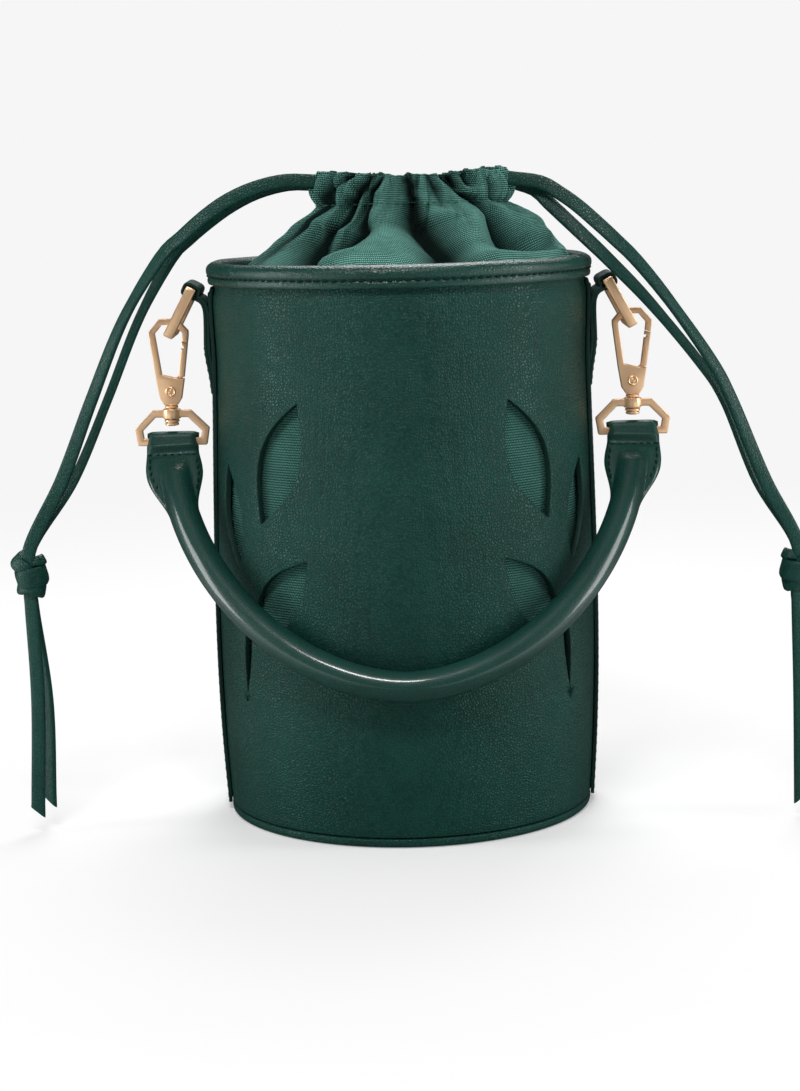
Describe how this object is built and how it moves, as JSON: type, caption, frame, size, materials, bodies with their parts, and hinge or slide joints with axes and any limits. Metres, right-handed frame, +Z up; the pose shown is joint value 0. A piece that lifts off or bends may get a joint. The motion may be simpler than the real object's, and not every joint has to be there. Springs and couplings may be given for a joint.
{
  "type": "bucket bag",
  "caption": "Small round leather bucket bag with leaf cut-outs, a gathered drawstring canvas top, side snap hooks and a clip-on rolled handle.",
  "frame": {"origin": "middle of the base, on the surface that it stands on", "axes": "+Z up, -Y out of the front, +X to the viewer's right when facing the front"},
  "size_m": [0.2844, 0.1486, 0.232],
  "materials": {
    "leather": "fine pebble grain, satin",
    "canvas": "ribbed canvas weave",
    "gold": "polished pale rose gold plate",
    "board": "pressed fibre board",
    "filler": "twisted cotton cord"
  },
  "bodies": {
    "bag": {"front_panel": "leather", "back_panel": "leather", "rim_band": "leather", "base_panel": "leather", "base_welt": "leather", "base_board": "board", "lining_wall": "canvas", "lining_bottom": "canvas", "drawstring_top": "canvas", "left_side_strip": "leather", "left_ring_tab": "leather", "left_front_strand": "leather", "left_back_strand": "leather", "left_knot": "leather", "left_front_tail": "leather", "left_back_tail": "leather", "right_side_strip": "leather", "right_ring_tab": "leather", "right_front_strand": "leather", "right_back_strand": "leather", "right_knot": "leather", "right_front_tail": "leather", "right_back_tail": "leather", "left_d_ring": "gold", "right_d_ring": "gold"},
    "handle": {"handle_sleeve": "leather", "handle_core": "filler", "left_handle_tab": "leather", "right_handle_tab": "leather"},
    "left_ring": {"left_ring": "gold"},
    "left_hook": {"left_hook_frame": "gold", "left_gate_rivet": "gold", "left_swivel_post": "gold"},
    "left_gate": {"left_gate": "gold"},
    "right_ring": {"right_ring": "gold"},
    "right_hook": {"right_hook_frame": "gold", "right_gate_rivet": "gold", "right_swivel_post": "gold"},
    "right_gate": {"right_gate": "gold"}
  },
  "joints": [
    {"name": "handle_swing", "type": "hinge", "parent": "bag", "child": "handle", "pos_m": [0, 0, 0.13519], "axis": [-1, 0, 0], "range_deg": [0, 90]},
    {"name": "left_ring_tilt", "type": "hinge", "parent": "bag", "child": "left_ring", "pos_m": [-0.07422, 0, 0.1897], "axis": [0, 1, 0], "range_deg": [0, 4]},
    {"name": "left_hook_swivel", "type": "hinge", "parent": "bag", "child": "left_hook", "pos_m": [-0.08331, 0, 0.14539], "axis": [0, 0, 1], "range_deg": [-20, 20]},
    {"name": "left_gate_open", "type": "hinge", "parent": "left_hook", "child": "left_gate", "pos_m": [-0.08331, 0, 0.15349], "axis": [0, -1, 0], "range_deg": [0, 18], "stiffness_Nm_per_rad": 0.02},
    {"name": "right_ring_tilt", "type": "hinge", "parent": "bag", "child": "right_ring", "pos_m": [0.07422, 0, 0.1897], "axis": [0, -1, 0], "range_deg": [0, 4]},
    {"name": "right_hook_swivel", "type": "hinge", "parent": "bag", "child": "right_hook", "pos_m": [0.08331, 0, 0.14539], "axis": [0, 0, 1], "range_deg": [-20, 20]},
    {"name": "right_gate_open", "type": "hinge", "parent": "right_hook", "child": "right_gate", "pos_m": [0.08331, 0, 0.15349], "axis": [0, -1, 0], "range_deg": [0, 18], "stiffness_Nm_per_rad": 0.02}
  ]
}
